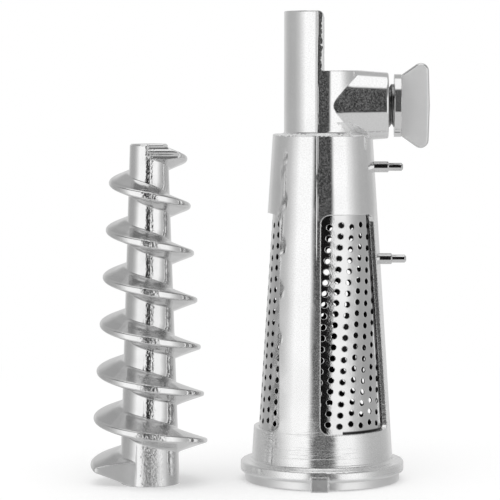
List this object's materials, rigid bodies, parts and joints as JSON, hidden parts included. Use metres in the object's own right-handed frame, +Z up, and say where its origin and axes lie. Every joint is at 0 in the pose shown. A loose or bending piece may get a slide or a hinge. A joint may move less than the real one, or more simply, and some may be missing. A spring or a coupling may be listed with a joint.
{
  "type": "meat grinder juicing attachment",
  "caption": "Cast juicing attachment of a hand-crank meat grinder: conical strainer with perforated screen, half-open pulp outlet and winged regulating screw, with its separate conical auger.",
  "frame": {"origin": "on the strainer's axis in the plane of its large end, where it stands and where it enters the grinder barrel", "axes": "+Z up along the strainer's axis towards the pulp outlet, +X along the regulating screw towards its wing, -Y towards the key lug at the front"},
  "size_m": [0.1348, 0.067, 0.1874],
  "materials": {
    "polished_casting": "polished casting",
    "screen_sheet": "bright perforated stainless sheet",
    "pin_steel": "turned steel",
    "thread_steel": "dark machined steel",
    "wing_casting": "tumbled casting",
    "plug_steel": "turned steel",
    "auger_casting": "polished casting with parting seam",
    "bush_steel": "machined steel"
  },
  "bodies": {
    "strainer": {"strainer_housing": "polished_casting", "perforated_screen": "screen_sheet", "upper_tray_pin": "pin_steel", "lower_tray_pin": "pin_steel"},
    "plug": {"regulator_plug": "plug_steel"},
    "regulating_screw": {"regulating_stem": "thread_steel", "wing_head": "wing_casting"},
    "auger": {"auger_screw": "auger_casting", "drive_bush": "bush_steel"}
  },
  "joints": [
    {"name": "plug_travel", "type": "slide", "parent": "strainer", "child": "plug", "axis": [1, 0, 0], "range_m": [-0.0021, 0.014]},
    {"name": "wing_turn", "type": "hinge", "parent": "plug", "child": "regulating_screw", "pos_m": [0, 0, 0.15], "axis": [1, 0, 0], "range_deg": [-378.1, 2520.2]},
    {"name": "auger_spin", "type": "hinge", "parent": "strainer", "child": "auger", "pos_m": [-0.06857, -0.0116, 0], "axis": [0, 0, 1], "continuous": true}
  ],
  "couplings": [
    {"joint": "wing_turn", "follows": "plug_travel", "rad_per_m": 3141.6}
  ]
}
